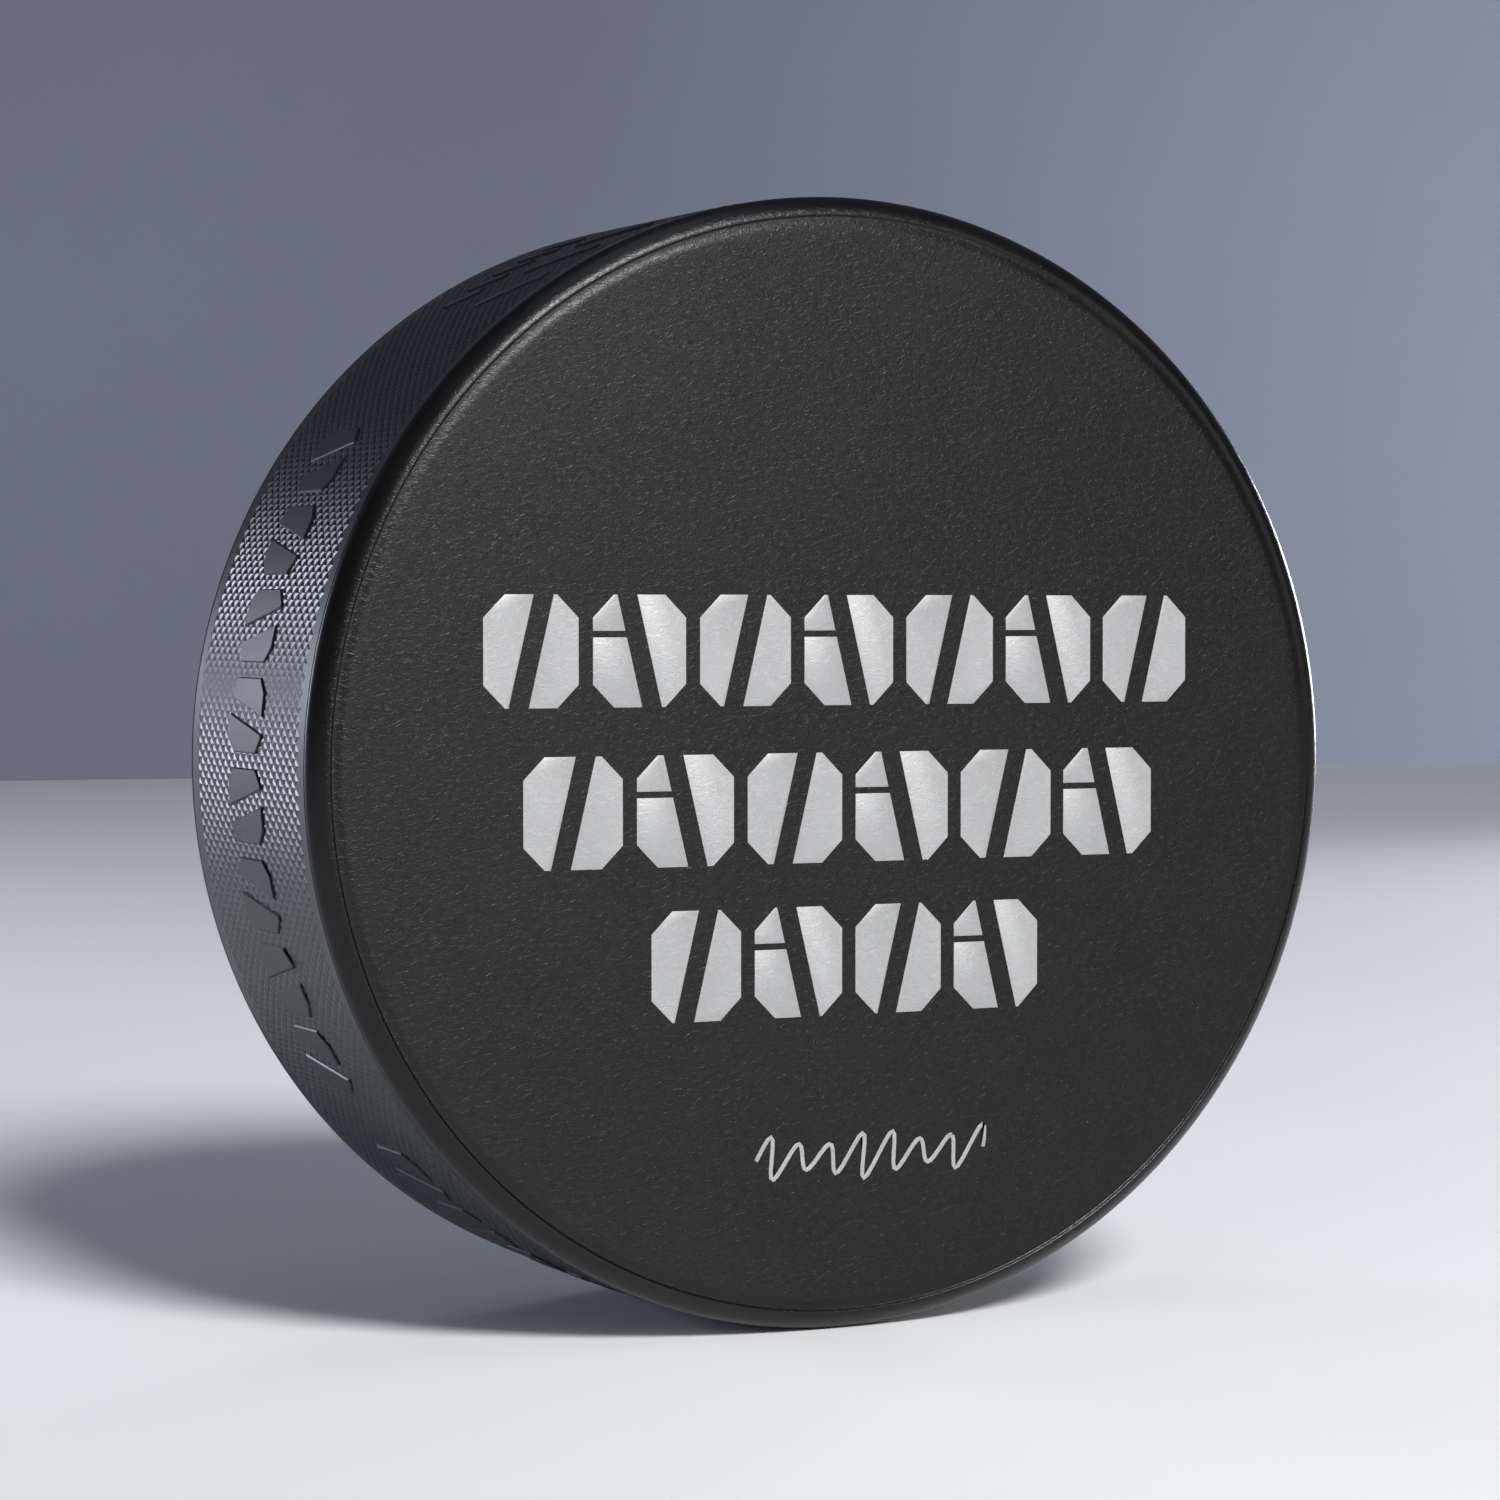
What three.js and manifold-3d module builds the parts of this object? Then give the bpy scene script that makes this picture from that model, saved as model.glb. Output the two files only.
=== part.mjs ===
// A hockey puck standing on its edge: one vulcanised rubber moulding and the ink printed on its front face.
// Millimetres, +Z up. The origin is the centre of the disc. Its axis runs along Y, and the printed face
// looks along -Y.
import * as THREE from 'three';
import { mergeVertices } from 'three/addons/utils/BufferGeometryUtils.js';
import Module from 'manifold-3d';

const wasm = await Module();
wasm.setup();

// ---- driving dimensions, mm and degrees ----
const DIAMETER = 76.2; // across the raised pads, 3 in
const THICKNESS = 25.4; // face to face, 1 in
const SEGMENTS = 96; // facets round the disc

// Side wall: a plain wall, a knurled band that stands above it, and smooth pads that stand above the band.
const PAD_HEIGHT = 0.12; // pads above the knurl tops
const KNURL_HEIGHT = 0.09; // knurl tops above the plain wall
const BAND_HALF_WIDTH = 10.37; // knurl at full height, each side of the middle
const BAND_RUN_OUT = 0.28; // width over which the knurl falls to the plain wall
const PARTING_Y = 11.35; // parting line, each side of the middle
const PARTING_WIDTH = 0.18;
const PARTING_DEPTH = 0.1;

// Rim of each face, going outwards: flat face, shallow groove, narrow bead, round corner.
const GROOVE_START_R = 35.7;
const GROOVE_R = 36.5;
const GROOVE_DEPTH = 0.14;
const BEAD_R = 36.68;
const CORNER_POWER = 1.5; // 2 is a plain round corner, 1 a straight chamfer
const CORNER_STEPS = 6;

// Raised pads. Their places are angles from the lowest point of the puck, the same on both sides.
const PAD = { arc: 7.5, height: 6.4, chamfer: 1, slot: 1.1, lean: 0.2 }; // height is along the axis
const PAD_PITCH = 9;
const PAD_GROUPS = [
  { start: 4, count: 5 },
  { start: 55.5, count: 8 },
];
const ROOT_DEPTH = 1; // how deep a raised feature is rooted in the wall

// A patch of thin slanted ribs high on each side.
const RIB_PATCH_ANGLE = 152.5;
const RIB_WIDTH = 0.7;
const RIB_SLANT = 25;
const RIB_ROWS = [
  { y: -5.1, length: 6.8, count: 3, pitch: 4.2 },
  { y: 3.3, length: 3.7, count: 5, pitch: 2.1 },
];

// Ink on the front face: three centred rows of stencilled blocks and a drawn squiggle.
const INK_THICKNESS = 0.05;
const MARK = { height: 7.35, chamfer: 1.5, slot: 1.4, lean: 0.24 };
const MARK_GAP = 1;
const BRIDGE = { level: 1.1, width: 0.42 }; // the thin gap across the left half of every second mark
const PRINT_ROWS = [
  { name: 'top_row_mark', count: 7, width: 52.6, centreZ: 7.7 },
  { name: 'middle_row_mark', count: 6, width: 47.1, centreZ: -2.8 },
  { name: 'bottom_row_mark', count: 4, width: 29, centreZ: -13.05 },
];
const SQUIGGLE = { centreX: 1.7, centreZ: -26.2, length: 17.2, height: 3.2, lean: 0.35, stroke: 0.3 };
const SQUIGGLE_WAVES = 7.5;
const SQUIGGLE_SWELL = 0.35; // how much its height grows and shrinks along its length
const POINTS_PER_WAVE = 12;

// ---- worked out from the driving dimensions ----
const PAD_RADIUS = DIAMETER / 2;
const KNURL_RADIUS = PAD_RADIUS - PAD_HEIGHT;
const WALL_RADIUS = KNURL_RADIUS - KNURL_HEIGHT;
const FACE_Y = THICKNESS / 2;
const HALF_FACET = Math.PI / SEGMENTS; // turns the facets so that a flat one is lowest

const RUBBER = new THREE.MeshStandardMaterial({ color: 0x1b1c1e, roughness: 0.55, metalness: 0 });
const INK = new THREE.MeshStandardMaterial({ color: 0xc9c9c9, roughness: 0.6, metalness: 0 });

const radians = THREE.MathUtils.degToRad;
const point = (x, y) => new THREE.Vector2(x, y);

// ---- joins and cuts ----
function toSolid(geometry) {
  geometry.deleteAttribute('normal');
  geometry.deleteAttribute('uv');
  const merged = mergeVertices(geometry, 1e-5);
  return new wasm.Manifold(new wasm.Mesh({
    numProp: 3,
    vertProperties: Float32Array.from(merged.attributes.position.array),
    triVerts: Uint32Array.from(merged.index.array),
  }));
}

function toGeometry(solid) {
  const mesh = solid.getMesh();
  const geometry = new THREE.BufferGeometry();
  geometry.setAttribute('position', new THREE.BufferAttribute(mesh.vertProperties, mesh.numProp));
  geometry.setIndex(new THREE.BufferAttribute(mesh.triVerts, 1));
  geometry.computeVertexNormals();
  return geometry;
}

// ---- the disc ----
// The outline from the edge of the knurled band to the flat of the face at +Y, as (radius, y).
function rimOutline() {
  const corner = point(BEAD_R, PARTING_Y + PARTING_WIDTH / 2);
  const points = [
    point(KNURL_RADIUS, BAND_HALF_WIDTH),
    point(WALL_RADIUS, BAND_HALF_WIDTH + BAND_RUN_OUT),
    point(WALL_RADIUS, PARTING_Y - PARTING_WIDTH / 2),
    point(WALL_RADIUS - PARTING_DEPTH, PARTING_Y),
  ];
  for (let step = 0; step <= CORNER_STEPS; step += 1) {
    const angle = (step / CORNER_STEPS) * (Math.PI / 2);
    const out = (WALL_RADIUS - corner.x) * Math.cos(angle) ** (2 / CORNER_POWER);
    const up = (FACE_Y - corner.y) * Math.sin(angle) ** (2 / CORNER_POWER);
    points.push(point(corner.x + out, corner.y + up));
  }
  points.push(point(GROOVE_R, FACE_Y - GROOVE_DEPTH));
  points.push(point(GROOVE_START_R, FACE_Y));
  return points;
}

function discSolid() {
  const front = rimOutline().map((p) => point(p.x, -p.y)).reverse();
  const outline = [point(0, -FACE_Y), ...front, ...rimOutline(), point(0, FACE_Y)];
  return toSolid(new THREE.LatheGeometry(outline, SEGMENTS, HALF_FACET));
}

// ---- what stands on the side wall ----
// The ring that raised features are cut from, so that their tops follow the round wall.
function raisedRing() {
  const inside = WALL_RADIUS - ROOT_DEPTH;
  const outline = [
    point(inside, -BAND_HALF_WIDTH),
    point(PAD_RADIUS, -BAND_HALF_WIDTH),
    point(PAD_RADIUS, BAND_HALF_WIDTH),
    point(inside, BAND_HALF_WIDTH),
    point(inside, -BAND_HALF_WIDTH),
  ];
  return toSolid(new THREE.LatheGeometry(outline, SEGMENTS, HALF_FACET));
}

// A flat outline, x round the wall and y along the axis, pushed through the wall at an angle from the
// lowest point. Positive angles are towards -X.
function throughWall(outline, degrees) {
  const depth = ROOT_DEPTH * 4;
  const geometry = new THREE.ExtrudeGeometry(new THREE.Shape(outline), { depth, bevelEnabled: false });
  geometry.translate(0, 0, ROOT_DEPTH * 2 - depth - WALL_RADIUS);
  geometry.rotateY(radians(degrees));
  return toSolid(geometry);
}

// A stencilled block: a rectangle with cut corners, parted into two halves by a leaning slot.
function stencilBlock({ width, height, chamfer, slot, lean }) {
  const side = width / 2;
  const top = height / 2;
  const left = [
    point(-side, -top + chamfer),
    point(-side + chamfer, -top),
    point(-lean * top - slot / 2, -top),
    point(lean * top - slot / 2, top),
    point(-side + chamfer, top),
    point(-side, top - chamfer),
  ];
  return { left, right: left.map((p) => point(-p.x, -p.y)) };
}

// The same block leaning the other way.
function mirrorBlock({ left, right }) {
  const mirror = (outline) => outline.map((p) => point(-p.x, p.y)).reverse();
  return { left: mirror(right), right: mirror(left) };
}

// What is left of an outline above a level, or below it when keep is -1.
function clip(outline, level, keep) {
  const inside = (p) => keep * (p.y - level) >= 0;
  return outline.flatMap((p, index) => {
    const next = outline[(index + 1) % outline.length];
    const kept = inside(p) ? [p] : [];
    if (inside(p) === inside(next)) return kept;
    return [...kept, p.clone().lerp(next, (level - p.y) / (next.y - p.y))];
  });
}

function padPrisms(side) {
  const rising = stencilBlock({ ...PAD, width: PAD_RADIUS * radians(PAD.arc) });
  const falling = mirrorBlock(rising);
  const prisms = [];
  for (const group of PAD_GROUPS) {
    for (let index = 0; index < group.count; index += 1) {
      const degrees = side * (group.start + PAD.arc / 2 + index * PAD_PITCH);
      const block = index % 2 ? falling : rising;
      prisms.push(throughWall(block.left, degrees), throughWall(block.right, degrees));
    }
  }
  return prisms;
}

function ribPrisms(side) {
  const slant = radians(RIB_SLANT) * side;
  const prisms = [];
  for (const row of RIB_ROWS) {
    for (let index = 0; index < row.count; index += 1) {
      const across = (index - (row.count - 1) / 2) * row.pitch;
      const corners = [[-1, -1], [1, -1], [1, 1], [-1, 1]].map(([u, v]) => {
        const corner = point((u * RIB_WIDTH) / 2, (v * row.length) / 2);
        return corner.rotateAround(point(0, 0), slant).add(point(across, row.y));
      });
      prisms.push(throughWall(corners, side * RIB_PATCH_ANGLE));
    }
  }
  return prisms;
}

function rubberPuck() {
  const prisms = [-1, 1].flatMap((side) => [...padPrisms(side), ...ribPrisms(side)]);
  const raised = prisms.reduce((all, prism) => all.add(prism)).intersect(raisedRing());
  const mesh = new THREE.Mesh(toGeometry(discSolid().add(raised)), RUBBER.clone());
  mesh.name = 'rubber_puck';
  return mesh;
}

// ---- ink on the front face ----
// An outline drawn as seen from the front, x to the right and y up, becomes a patch of ink on the face.
function inkPatch(name, outline, x, z) {
  const depth = INK_THICKNESS;
  const geometry = new THREE.ExtrudeGeometry(new THREE.Shape(outline), { depth, bevelEnabled: false });
  geometry.rotateX(Math.PI / 2);
  const mesh = new THREE.Mesh(geometry, INK.clone());
  mesh.name = name;
  mesh.position.set(x, -FACE_Y, z);
  return mesh;
}

// One row of marks. Every second mark leans the other way, and a thin bridge parts its left half.
function printedRow(row) {
  const width = (row.width - (row.count - 1) * MARK_GAP) / row.count;
  const plain = stencilBlock({ ...MARK, width });
  const mirrored = mirrorBlock(plain);
  const bridged = {
    left_lower: clip(mirrored.left, BRIDGE.level - BRIDGE.width / 2, -1),
    left_upper: clip(mirrored.left, BRIDGE.level + BRIDGE.width / 2, 1),
    right: mirrored.right,
  };
  const patches = [];
  for (let index = 0; index < row.count; index += 1) {
    const x = -row.width / 2 + width / 2 + index * (width + MARK_GAP);
    for (const [part, outline] of Object.entries(index % 2 ? bridged : plain)) {
      patches.push(inkPatch(`${row.name}_${index + 1}_${part}`, outline, x, row.centreZ));
    }
  }
  return patches;
}

// A point on the squiggle, a leaning wave whose height swells and shrinks, at a share of its length.
function squiggleCentre(share) {
  const swell = (1 + SQUIGGLE_SWELL * Math.cos(4 * Math.PI * share)) / (1 + SQUIGGLE_SWELL);
  const rise = (SQUIGGLE.height / 2) * swell * Math.sin(2 * Math.PI * SQUIGGLE_WAVES * share);
  return point((share - 0.5) * SQUIGGLE.length + SQUIGGLE.lean * rise, rise);
}

// The squiggle as a line of constant width.
function squiggle() {
  const steps = SQUIGGLE_WAVES * POINTS_PER_WAVE;
  const left = [];
  const right = [];
  for (let step = 0; step <= steps; step += 1) {
    const centre = squiggleCentre(step / steps);
    const along = squiggleCentre((step + 0.1) / steps).sub(squiggleCentre((step - 0.1) / steps));
    const across = point(-along.y, along.x).setLength(SQUIGGLE.stroke / 2);
    left.push(centre.clone().add(across));
    right.push(centre.sub(across));
  }
  const outline = [...right, ...left.reverse()];
  return inkPatch('squiggle_line', outline, SQUIGGLE.centreX, SQUIGGLE.centreZ);
}

const puck = new THREE.Group();
puck.add(rubberPuck(), ...PRINT_ROWS.flatMap(printedRow), squiggle());

export default puck;
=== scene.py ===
import math

import bmesh
import bpy
import numpy as np
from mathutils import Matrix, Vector


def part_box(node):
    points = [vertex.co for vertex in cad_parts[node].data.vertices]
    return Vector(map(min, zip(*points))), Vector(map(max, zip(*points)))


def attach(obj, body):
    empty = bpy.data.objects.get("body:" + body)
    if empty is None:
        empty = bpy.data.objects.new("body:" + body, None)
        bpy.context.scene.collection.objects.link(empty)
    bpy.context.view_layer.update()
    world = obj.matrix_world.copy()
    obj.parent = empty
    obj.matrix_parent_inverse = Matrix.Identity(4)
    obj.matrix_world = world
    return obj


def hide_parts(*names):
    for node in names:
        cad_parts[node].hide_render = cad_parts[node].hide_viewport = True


# A hockey puck standing on its edge, in metres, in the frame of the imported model: the disc's axis lies
# along Y, the printed face looks along -Y and the lowest point of the rim is at -Z.
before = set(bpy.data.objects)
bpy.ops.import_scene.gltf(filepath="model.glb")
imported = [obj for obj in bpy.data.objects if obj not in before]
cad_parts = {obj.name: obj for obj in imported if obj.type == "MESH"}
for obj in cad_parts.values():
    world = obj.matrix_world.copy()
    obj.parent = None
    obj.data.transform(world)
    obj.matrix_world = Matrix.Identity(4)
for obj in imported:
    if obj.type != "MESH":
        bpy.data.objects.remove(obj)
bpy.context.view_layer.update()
MM = 0.001

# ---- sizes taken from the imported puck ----
puck_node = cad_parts["rubber_puck"]
PAD_R = max(math.hypot(v.co.x, v.co.z) for v in puck_node.data.vertices)
FACE_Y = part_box("rubber_puck")[1].y

# ---- side wall: a plain wall, a knurl that stands above it and pads that stand above the knurl ----
KNURL_R = PAD_R - 0.12 * MM
WALL_R = KNURL_R - 0.052 * MM
DIAMONDS = 256                 # knurl diamonds round the wall in each row
POINTS = 2 * DIAMONDS          # vertices in every ring
KNURL_ROWS = 16                # rows of diamonds on each side of the middle row
KNURL_STEP = 0.61 * MM         # from one row of diamonds to the next
CORNERS = [(0, 1), (1, 0), (0, -1), (-1, 0)]   # of a diamond, as steps round the wall and along the axis
DIAMOND_LEVELS = [(0.95, WALL_R), (0.36, KNURL_R)]    # size and radius of its foot, then of its flat top
STRIP_Y = 10.65 * MM           # where the plain strip beside the knurl begins
PARTING_Y = 11.35 * MM         # the thin parting line
PARTING_HALF_WIDTH = 0.09 * MM
PARTING_DEPTH = 0.1 * MM

# ---- rim of each face: corner, bead and groove ----
BEAD_R = 36.68 * MM
GROOVE_R = 36.5 * MM
GROOVE_DEPTH = 0.14 * MM
GROOVE_START_R = 35.7 * MM
CORNER_POWER = 1.5             # 2 is a plain round corner, 1 a straight chamfer
CORNER_STEPS = 16
GROOVE_OUTER_STEPS = 4
GROOVE_INNER_STEPS = 6
FIRST_WEB_GAP = 0.6 * MM       # between the first two rings of a face's flat; the gaps double inwards,
WEB_GAP_SHARE = 0.28           # up to this share of the radius
FEWEST_WEB_POINTS = 8

# ---- raised pads and ribs, placed by their angle from the lowest point, the same on both sides ----
PAD_ARC = 7.5
PAD_PITCH = 9
PAD_GROUPS = [(4, 5), (55.5, 8)]               # first edge in degrees, number of pads
PAD = {"width": PAD_R * math.radians(PAD_ARC), "height": 6.4 * MM, "chamfer": 1 * MM, "slot": 1.1 * MM,
       "lean": 0.2}
RIB_PATCH_ANGLE = 152.5
RIB_WIDTH = 0.7 * MM
RIB_SLANT = 25
RIB_ROWS = [{"y": -5.1 * MM, "length": 6.8 * MM, "count": 3, "pitch": 4.2 * MM},
            {"y": 3.3 * MM, "length": 3.7 * MM, "count": 5, "pitch": 2.1 * MM}]
ROOT = 0.9 * MM                # how deep a raised feature starts below its top
EDGE_DRAFT = 0.09 * MM         # sloping top edge of a raised feature
SLICE = math.radians(0.8)      # arc of one facet of a pad's round top
SHARP = math.radians(25)       # edges that turn more than this stay crisp

# ---- ink ----
INK_EDGE = 0.02 * MM           # softened edge of the ink film

# ---- camera and studio ----
CAMERA = {"azimuth": -25.757, "elevation": 1.973, "distance": 0.2797, "half_view": 10.568}
CAMERA_TARGET = Vector((-0.0012, 0, 0.00064))
FLOOR_SIZE = 5.0
WALL_DISTANCE = 0.90
WALL_TURN = -8.4
LIGHTS = {
    "key_light": {"azimuth": 3, "elevation": 38.5, "distance": 1.05, "size": 0.3, "power": 7.6,
                  "color": (1, 1, 1), "target": (0.1, 0.35, 0), "spread": 140},
    "sheen_light": {"azimuth": 17, "elevation": 13.5, "distance": 1.2, "size": 0.45, "power": 2.1,
                    "color": (1, 1, 1)},
    "right_rear_panel": {"azimuth": 128, "elevation": 4, "distance": 0.8, "size": 0.16, "power": 0.24,
                         "color": (0.94, 0.97, 1), "spread": 60},
    "left_rear_panel": {"azimuth": -143, "elevation": 7, "distance": 0.7, "size": 0.17, "power": 1.85,
                        "color": (0.76, 0.83, 1)},
    "top_panel": {"azimuth": 0, "elevation": 80, "distance": 1.5, "size": 0.8, "power": 1.3,
                  "color": (0.6, 0.75, 1)},
}
AIR_COLOR = (0.55, 0.7, 1.0)
AIR_STRENGTH = 0.01

# ---- colours and finish ----
RUBBER_COLOR = (0.004, 0.004, 0.0042)
INK_COLOR = (0.4, 0.4, 0.402)
INK_METALLIC = 0.4
FLOOR_COLOR = (0.93, 0.93, 0.935)
WALL_COLOR = (0.36, 0.4, 0.5)
# The backdrop's colour carries painted light falloff: it is paler towards the right and darker towards the
# top, in place of lamp light falling off across it.
WALL_PAINTED_FALLOFF_X = (0.3, 0.85)      # where the backdrop's tone changes, on the backdrop itself,
WALL_PAINTED_FALLOFF_Y = (0.05 - FLOOR_SIZE / 4, 0.7 - FLOOR_SIZE / 4)
WALL_PAINTED_FALLOFF_ACROSS = (0.62, 1.6)                 # and its tone at the two ends of each change
WALL_PAINTED_FALLOFF_UP = (1.0, 0.5)
FACE_ROUGHNESS = 0.33
WALL_ROUGHNESS = 0.34
PAD_ROUGHNESS = 0.42
RUBBER_SPECULAR = 0.33
GRAIN_DEPTH = 0.035 * MM
WRINKLE_SIZE = (0.62 * MM, 0.5 * MM, 0.34 * MM)


# ======== meshes ========
def new_object(name, mesh):
    piece = bpy.data.objects.new(name, mesh)
    bpy.context.scene.collection.objects.link(piece)
    return piece


def wall_profile():
    """(radius, y) of the smooth rings from the knurl's edge to the flat of the face, on the +Y side."""
    corner_y = PARTING_Y + PARTING_HALF_WIDTH
    points = [(WALL_R, STRIP_Y),
              (WALL_R, PARTING_Y - PARTING_HALF_WIDTH),
              (WALL_R - PARTING_DEPTH, PARTING_Y)]
    for step in range(CORNER_STEPS + 1):
        angle = math.pi / 2 * step / CORNER_STEPS
        points.append((BEAD_R + (WALL_R - BEAD_R) * max(math.cos(angle), 0) ** (2 / CORNER_POWER),
                       corner_y + (FACE_Y - corner_y) * math.sin(angle) ** (2 / CORNER_POWER)))
    points += groove_side(BEAD_R, GROOVE_R, GROOVE_OUTER_STEPS)
    points += groove_side(GROOVE_START_R, GROOVE_R, GROOVE_INNER_STEPS)[-2::-1]
    points.append((GROOVE_START_R, FACE_Y))
    return points


def groove_side(top_r, bottom_r, steps):
    """An S-curve from the top of the groove, left out, down to its bottom."""
    points = []
    for step in range(1, steps + 1):
        share = step / steps
        depth = GROOVE_DEPTH * (1 - math.cos(math.pi * share)) / 2
        points.append((top_r + (bottom_r - top_r) * share, FACE_Y - depth))
    return points


def ring(radius, y, count=POINTS):
    """Points round the axis, from +X towards +Z."""
    angles = 2 * math.pi * np.arange(count) / count
    return np.stack([radius * np.cos(angles), np.full(count, y), radius * np.sin(angles)], axis=1)


def on_wall(radius, step, row):
    angle = 2 * math.pi * step / POINTS
    return radius * math.cos(angle), row * KNURL_STEP, radius * math.sin(angle)


def knurl(vertices):
    """Rows of flat-topped diamonds with flat-bottomed grooves between them. Returns the faces and the zigzag
    edges at the front and at the rear."""
    crossings, faces = {}, []

    def crossing(step, row):
        place = (step % POINTS, row)
        if place not in crossings:
            crossings[place] = len(vertices)
            vertices.append(on_wall(WALL_R, step, row))
        return crossings[place]

    for row in range(-KNURL_ROWS, KNURL_ROWS + 1):
        for step in range((row + 1) % 2, POINTS, 2):
            outer = [crossing(step + u, row + v) for u, v in CORNERS]
            for size, radius in DIAMOND_LEVELS:
                inner = [len(vertices) + corner for corner in range(4)]
                vertices.extend(on_wall(radius, step + size * u, row + size * v) for u, v in CORNERS)
                faces += [(outer[i - 1], outer[i], inner[i], inner[i - 1]) for i in range(4)]
                outer = inner
            faces.append(tuple(outer))
    last_rows = [KNURL_ROWS + (step + KNURL_ROWS) % 2 for step in range(POINTS)]
    edges = ([crossings[step, side * row] for step, row in enumerate(last_rows)] for side in (-1, 1))
    return faces, *edges


def quad_faces(lower, upper):
    """Faces between two closed lines of vertices, the upper one further along +Y."""
    return [(lower[i - 1], upper[i - 1], upper[i], lower[i]) for i in range(POINTS)]


def face_web(first, vertices, y):
    """The flat of a face: rings with half as many points each, down to one point in the middle."""
    faces = []
    outer, count = first, POINTS
    radius, gap = GROOVE_START_R, FIRST_WEB_GAP
    while count > FEWEST_WEB_POINTS:
        inner_count = count // 2
        radius -= gap
        gap = min(2 * gap, WEB_GAP_SHARE * radius)
        inner = len(vertices)
        vertices.extend(ring(radius, y, inner_count))
        for i in range(inner_count):
            a, b = inner + i, inner + (i + 1) % inner_count
            p, q, r = (outer + (2 * i + k) % count for k in range(3))
            faces += [(a, p, q), (a, q, b), (b, q, r)]
        outer, count = inner, inner_count
    middle = len(vertices)
    vertices.append((0, y, 0))
    faces += [(middle, outer + i, outer + (i + 1) % count) for i in range(count)]
    return faces


def knurled_disc():
    """The moulded disc without its raised pads, as one closed mesh."""
    vertices = []
    faces, front_edge, rear_edge = knurl(vertices)
    for side, line in ((-1, front_edge), (1, rear_edge)):
        for radius, y in wall_profile():
            after = range(len(vertices), len(vertices) + POINTS)
            vertices.extend(ring(radius, side * y))
            faces += quad_faces(line, after) if side > 0 else quad_faces(after, line)
            line = after
        web = face_web(line[0], vertices, side * FACE_Y)
        faces += [tuple(reversed(face)) for face in web] if side > 0 else web
    mesh = bpy.data.meshes.new("rubber_body")
    mesh.from_pydata([tuple(v) for v in vertices], [], faces)
    return new_object("rubber_body", mesh)


def stencil_block(width, height, chamfer, slot, lean):
    """Half of a rectangle with cut corners, parted by a leaning slot. The other half is this one turned."""
    side, top = width / 2, height / 2
    return [(-side, -top + chamfer), (-side + chamfer, -top), (-lean * top - slot / 2, -top),
            (lean * top - slot / 2, top), (-side + chamfer, top), (-side, top - chamfer)]


def turned(outline):
    return [(-u, -v) for u, v in outline]


def mirrored(outline):
    return [(-u, v) for u, v in reversed(outline)]


def rib_outline(across, row, side):
    """A thin leaning bar, drawn as it is seen from outside the wall."""
    slant = math.radians(RIB_SLANT) * side
    corners = [(-1, -1), (1, -1), (1, 1), (-1, 1)]
    outline = []
    for u, v in corners:
        u, v = u * RIB_WIDTH / 2, v * row["length"] / 2
        outline.append((across + u * math.cos(slant) - v * math.sin(slant),
                        row["y"] + u * math.sin(slant) + v * math.cos(slant)))
    return outline


def wall_feature(work, outline, degrees):
    """Adds a raised piece to the work mesh: its outline, u round the wall and v along the axis, is pushed
    out to the pad radius, its top edge sloped, sliced, bent round the wall and turned to its angle."""
    piece = bmesh.new()
    base = piece.faces.new([piece.verts.new((u, v, PAD_R - ROOT)) for u, v in outline])
    lid = bmesh.ops.extrude_face_region(piece, geom=[base])["geom"]
    top = [v for v in lid if isinstance(v, bmesh.types.BMVert)]
    bmesh.ops.translate(piece, verts=top, vec=(0, 0, ROOT))
    top_edges = [e for e in lid if isinstance(e, bmesh.types.BMEdge)]
    bmesh.ops.bevel(piece, geom=top_edges, offset=EDGE_DRAFT, segments=1, profile=0.5, affect="EDGES")
    bmesh.ops.recalc_face_normals(piece, faces=piece.faces)
    reach = max(abs(u) for u, v in outline) / PAD_R
    for index in range(-int(reach / SLICE), int(reach / SLICE) + 1):
        everything = piece.verts[:] + piece.edges[:] + piece.faces[:]
        bmesh.ops.bisect_plane(piece, geom=everything, plane_co=(index * SLICE * PAD_R, 0, 0),
                               plane_no=(1, 0, 0), dist=1e-9)
    for vertex in piece.verts:
        u, v, r = vertex.co
        angle = u / PAD_R + math.radians(degrees)
        vertex.co = (-r * math.sin(angle), v, -r * math.cos(angle))
    mesh = bpy.data.meshes.new("feature")
    piece.to_mesh(mesh)
    piece.free()
    work.from_mesh(mesh)
    bpy.data.meshes.remove(mesh)


def raised_features():
    """Every pad and rib on both sides of the puck, as one mesh of separate closed pieces."""
    rising = stencil_block(**PAD)
    falling = turned(mirrored(rising))
    work = bmesh.new()
    for side in (-1, 1):
        for start, count in PAD_GROUPS:
            for index in range(count):
                degrees = side * (start + PAD_ARC / 2 + index * PAD_PITCH)
                half = falling if index % 2 else rising
                wall_feature(work, half, degrees)
                wall_feature(work, turned(half), degrees)
        for row in RIB_ROWS:
            for index in range(row["count"]):
                across = (index - (row["count"] - 1) / 2) * row["pitch"]
                wall_feature(work, rib_outline(across, row, side), side * RIB_PATCH_ANGLE)
    mesh = bpy.data.meshes.new("raised_features")
    work.to_mesh(mesh)
    work.free()
    return new_object("raised_features", mesh)


def rubber_body():
    """The whole moulding: the knurled disc joined with its raised pads and ribs."""
    disc = knurled_disc()
    features = raised_features()
    join = disc.modifiers.new("join", "BOOLEAN")
    join.operation = "UNION"
    join.solver = "MANIFOLD"
    join.object = features
    evaluated = disc.evaluated_get(bpy.context.evaluated_depsgraph_get())
    mesh = bpy.data.meshes.new_from_object(evaluated)
    disc.modifiers.clear()
    disc.data = mesh
    bpy.data.objects.remove(features)
    mesh.shade_smooth()
    mesh.set_sharp_from_angle(angle=SHARP)
    centres = np.zeros(3 * len(mesh.polygons), dtype=np.float32)
    mesh.polygons.foreach_get("center", centres)
    mesh.polygons.foreach_set("use_smooth", np.abs(centres[1::3]) > STRIP_Y)
    return disc


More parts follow.
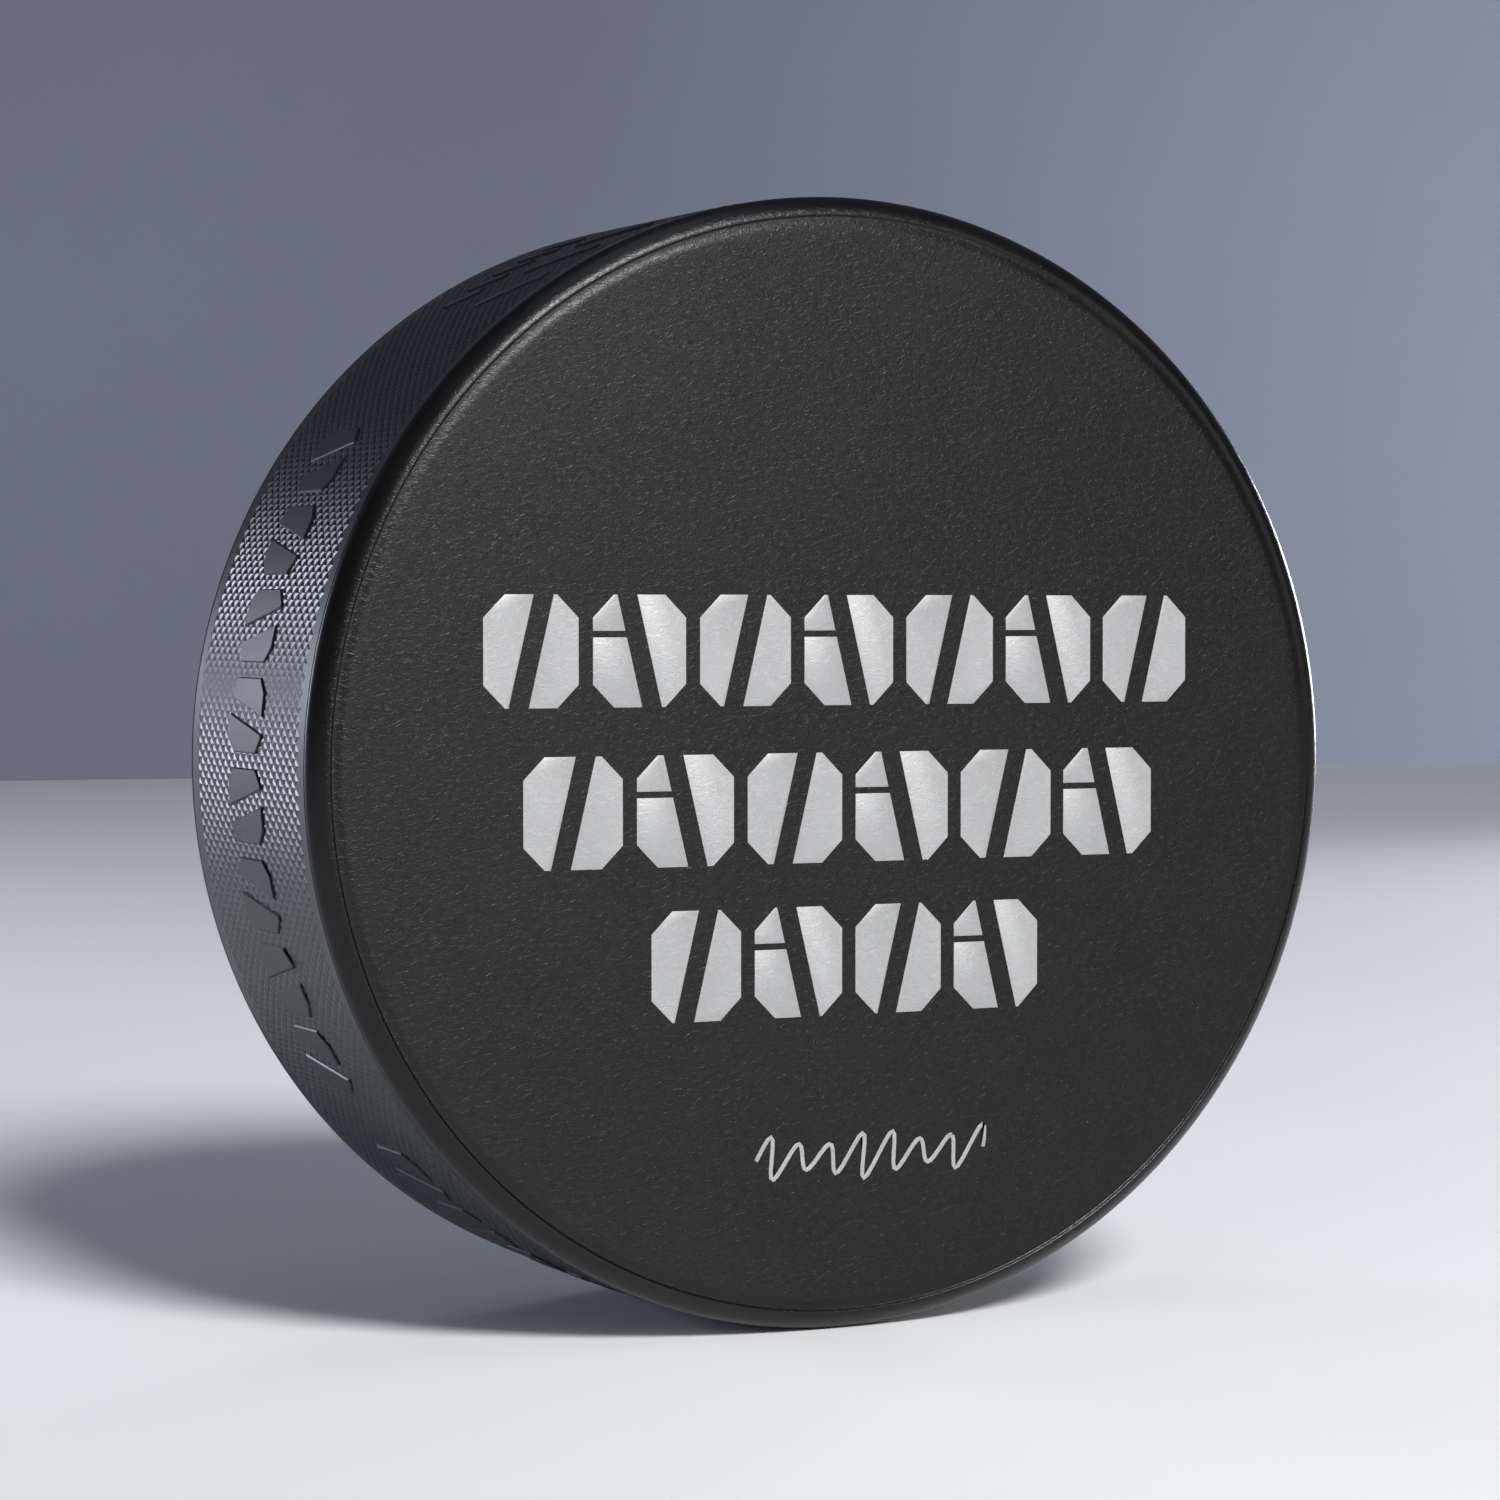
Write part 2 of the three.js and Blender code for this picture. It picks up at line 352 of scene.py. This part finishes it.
def ink_film(node_name):
    """A printed patch: the CAD patch with the edge of its film softened."""
    work = bmesh.new()
    work.from_mesh(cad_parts[node_name].data)
    bmesh.ops.remove_doubles(work, verts=work.verts, dist=1e-7)
    bmesh.ops.dissolve_limit(work, angle_limit=math.radians(1), verts=work.verts, edges=work.edges)
    front_y = min(v.co.y for v in work.verts)
    rim = [e for e in work.edges if all(abs(v.co.y - front_y) < 1e-7 for v in e.verts)]
    bmesh.ops.bevel(work, geom=rim, offset=INK_EDGE, segments=2, profile=0.5, affect="EDGES")
    mesh = bpy.data.meshes.new(node_name + "_ink")
    work.to_mesh(mesh)
    work.free()
    mesh.shade_smooth()
    mesh.set_sharp_from_angle(angle=SHARP)
    return new_object(node_name + "_ink", mesh)


# ======== materials ========
class Nodes:
    """A small helper that adds shader nodes to a material and links them."""

    def __init__(self, tree):
        self.tree = tree

    def add(self, kind, inputs=(), **settings):
        node = self.tree.nodes.new("ShaderNode" + kind)
        for name, value in settings.items():
            setattr(node, name, value)
        for key, value in dict(inputs).items():
            if isinstance(value, bpy.types.NodeSocket):
                self.tree.links.new(value, node.inputs[key])
            else:
                node.inputs[key].default_value = value
        return node

    def math(self, operation, a, b=0.0):
        return self.add("Math", {0: a, 1: b}, operation=operation).outputs[0]

    def ramp(self, value, low, high, to_low=0.0, to_high=1.0):
        inputs = {"Value": value, "From Min": low, "From Max": high, "To Min": to_low, "To Max": to_high}
        return self.add("MapRange", inputs, interpolation_type="SMOOTHSTEP").outputs["Result"]

    def noise(self, place, feature, detail=2.0):
        """Soft noise whose spots are about feature metres across."""
        return self.add("TexNoise", {"Vector": place, "Scale": 1 / feature, "Detail": detail}).outputs["Fac"]


def leather_grain(nodes, place):
    """Height of the fine grain moulded into the faces, from 0 to 1: short flat wrinkles and small pebbles."""
    per_metre = [1 / size for size in WRINKLE_SIZE]
    wide = nodes.add("VectorMath", {0: place, 1: per_metre}, operation="MULTIPLY").outputs["Vector"]
    noise = nodes.add("TexNoise", {"Vector": wide, "Scale": 1.0, "Detail": 3.0, "Distortion": 0.8})
    wrinkles = noise.outputs["Fac"]
    creases = nodes.ramp(nodes.math("ABSOLUTE", nodes.math("SUBTRACT", wrinkles, 0.5)), 0.0, 0.09)
    fine = nodes.noise(place, 0.2 * MM, 2.0)
    low = nodes.math("ADD", nodes.math("MULTIPLY", wrinkles, 0.55), nodes.math("MULTIPLY", creases, 0.2))
    return nodes.math("ADD", low, nodes.math("MULTIPLY", fine, 0.25))


def start_material(name):
    material = bpy.data.materials.new(name)
    material.use_nodes = True
    nodes = Nodes(material.node_tree)
    place = nodes.add("TexCoord").outputs["Object"]
    shader = material.node_tree.nodes["Principled BSDF"]
    return material, nodes, place, shader


def rubber_material():
    """Black vulcanised rubber: leathery faces, a smoother knurl, and duller pads that are rubbed greyer."""
    material, nodes, place, shader = start_material("black_rubber")
    split = nodes.add("SeparateXYZ", {"Vector": place})
    x, y, z = (split.outputs[axis] for axis in "XYZ")
    square = nodes.math("ADD", nodes.math("MULTIPLY", x, x), nodes.math("MULTIPLY", z, z))
    radius = nodes.math("SQRT", square)
    on_face = nodes.ramp(nodes.math("ABSOLUTE", y), FACE_Y - 0.45 * MM, FACE_Y - 0.05 * MM)
    on_pad = nodes.ramp(radius, KNURL_R + 0.02 * MM, KNURL_R + 0.08 * MM)
    rubbed = nodes.ramp(radius, WALL_R, PAD_R)

    mottle = nodes.ramp(nodes.noise(place, 5 * MM, 4.0), 0.3, 0.7, 0.85, 1.15)
    bloom = nodes.ramp(nodes.noise(place, 0.6 * MM, 3.0), 0.45, 0.8, 0.0, 0.25)
    tone = nodes.math("ADD", mottle, nodes.math("ADD", bloom, nodes.math("MULTIPLY", rubbed, 0.35)))
    color = nodes.add("VectorMath", {0: RUBBER_COLOR, "Scale": tone}, operation="SCALE")
    nodes.tree.links.new(color.outputs["Vector"], shader.inputs["Base Color"])

    streaks = nodes.ramp(nodes.noise(place, 1.6 * MM, 5.0), 0.3, 0.7, -0.012, 0.012)
    wall = nodes.ramp(on_pad, 0.0, 1.0, WALL_ROUGHNESS, PAD_ROUGHNESS)
    base = nodes.add("MapRange", {"Value": on_face, "To Min": wall, "To Max": FACE_ROUGHNESS})
    rough = nodes.math("ADD", base.outputs["Result"], streaks)
    nodes.tree.links.new(rough, shader.inputs["Roughness"])

    grain = nodes.math("MULTIPLY", leather_grain(nodes, place), on_face)
    skin = nodes.math("MULTIPLY", nodes.noise(place, 0.12 * MM, 3.0), 0.12)
    bump = nodes.add("Bump", {"Height": nodes.math("ADD", grain, skin), "Distance": GRAIN_DEPTH,
                              "Strength": 1.0})
    nodes.tree.links.new(bump.outputs["Normal"], shader.inputs["Normal"])
    shader.inputs["Specular IOR Level"].default_value = RUBBER_SPECULAR
    return material


def ink_material():
    """Pale grey ink with a little metal in it, thin enough for the grain of the rubber to show through."""
    material, nodes, place, shader = start_material("pale_ink")
    grain = leather_grain(nodes, place)
    patchy = nodes.ramp(nodes.noise(place, 2.5 * MM, 4.0), 0.3, 0.7, 0.98, 1.02)
    thin = nodes.ramp(grain, 0.35, 0.75, 0.94, 1.03)
    tone = nodes.math("MULTIPLY", patchy, thin)
    color = nodes.add("VectorMath", {0: INK_COLOR, "Scale": tone}, operation="SCALE")
    nodes.tree.links.new(color.outputs["Vector"], shader.inputs["Base Color"])
    rough = nodes.ramp(nodes.noise(place, 0.3 * MM, 3.0), 0.3, 0.7, 0.45, 0.5)
    nodes.tree.links.new(rough, shader.inputs["Roughness"])
    shader.inputs["Metallic"].default_value = INK_METALLIC
    bump = nodes.add("Bump", {"Height": grain, "Distance": 0.6 * GRAIN_DEPTH, "Strength": 1.0})
    nodes.tree.links.new(bump.outputs["Normal"], shader.inputs["Normal"])
    return material


def painted_light_falloff(nodes, place):
    """Painted light falloff on the backdrop: it is paler towards the right and darker towards the top, as
    lamp light would fall off across it.
    """
    split = nodes.add("SeparateXYZ", {"Vector": place})
    across = nodes.ramp(split.outputs["X"], *WALL_PAINTED_FALLOFF_X, *WALL_PAINTED_FALLOFF_ACROSS)
    up = nodes.ramp(split.outputs["Y"], *WALL_PAINTED_FALLOFF_Y, *WALL_PAINTED_FALLOFF_UP)
    return nodes.math("MULTIPLY", across, up)


def plain_material(name, color, roughness, painted_falloff=None):
    """A matt studio surface with the faint unevenness of paper, and painted light falloff when one is given.
    """
    material, nodes, place, shader = start_material(name)
    tone = nodes.ramp(nodes.noise(place, 0.15, 2.0), 0.3, 0.7, 0.985, 1.015)
    if painted_falloff:
        tone = nodes.math("MULTIPLY", tone, painted_falloff(nodes, place))
    shade = nodes.add("VectorMath", {0: color, "Scale": tone}, operation="SCALE")
    nodes.tree.links.new(shade.outputs["Vector"], shader.inputs["Base Color"])
    shader.inputs["Roughness"].default_value = roughness
    shader.inputs["Specular IOR Level"].default_value = 0.2
    return material


# ======== studio ========
def direction(azimuth, elevation):
    """Unit vector from the puck. Azimuth 0 is the printed face's side, and it grows towards +X."""
    azimuth, elevation = math.radians(azimuth), math.radians(elevation)
    return Vector((math.sin(azimuth) * math.cos(elevation), -math.cos(azimuth) * math.cos(elevation),
                   math.sin(elevation)))


def aim(item, place, target):
    item.location = place
    item.rotation_euler = (target - place).to_track_quat("-Z", "Y").to_euler()


def soft_light(name, azimuth, elevation, distance, size, power, color, target=(0, 0, 0), spread=180):
    data = bpy.data.lights.new(name, "AREA")
    data.shape = "DISK"
    data.size = size
    data.energy = power
    data.color = color
    data.spread = math.radians(spread)
    lamp = new_object(name, data)
    lamp.visible_camera = False
    aim(lamp, direction(azimuth, elevation) * distance, Vector(target))


def stage_plane(name, width, depth, material):
    mesh = bpy.data.meshes.new(name)
    corners = [(-width / 2, -depth / 2, 0), (width / 2, -depth / 2, 0), (width / 2, depth / 2, 0),
               (-width / 2, depth / 2, 0)]
    mesh.from_pydata(corners, [], [(0, 1, 2, 3)])
    mesh.materials.append(material)
    plane = new_object(name, mesh)
    return plane


def studio(floor_z):
    paper = plain_material("floor_white", FLOOR_COLOR, 0.6)
    floor = stage_plane("studio_floor", FLOOR_SIZE, FLOOR_SIZE, paper)
    floor.location = (0, 0, floor_z)
    # The backdrop's slate colour carries painted light falloff.
    slate = plain_material("wall_slate", WALL_COLOR, 0.8, painted_light_falloff)
    wall = stage_plane("studio_wall", FLOOR_SIZE, FLOOR_SIZE / 2, slate)
    wall.location = (0, WALL_DISTANCE, floor_z + FLOOR_SIZE / 4)
    wall.rotation_euler = (math.pi / 2, 0, math.radians(WALL_TURN))
    for name, light in LIGHTS.items():
        soft_light(name, **light)
    world = bpy.data.worlds.new("studio_air")
    world.use_nodes = True
    background = world.node_tree.nodes["Background"]
    background.inputs["Color"].default_value = (*AIR_COLOR, 1)
    background.inputs["Strength"].default_value = AIR_STRENGTH
    bpy.context.scene.world = world


def photo_camera():
    data = bpy.data.cameras.new("camera")
    data.angle = 2 * math.radians(CAMERA["half_view"])
    data.clip_start = 0.01
    camera = new_object("camera", data)
    view = direction(CAMERA["azimuth"], CAMERA["elevation"])
    aim(camera, CAMERA_TARGET + view * CAMERA["distance"], CAMERA_TARGET)
    bpy.context.scene.camera = camera


# ======== the scene ========
photo_camera()

body = rubber_body()
body.data.materials.clear()
body.data.materials.append(rubber_material())
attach(body, "root")
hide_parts("rubber_puck")

ink = ink_material()
for node_name in sorted(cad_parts):
    if node_name != "rubber_puck":
        film = ink_film(node_name)
        film.data.materials.append(ink)
        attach(film, "root")
        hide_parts(node_name)

studio(min(v.co.z for v in body.data.vertices))
bpy.context.scene.view_settings.view_transform = "Standard"
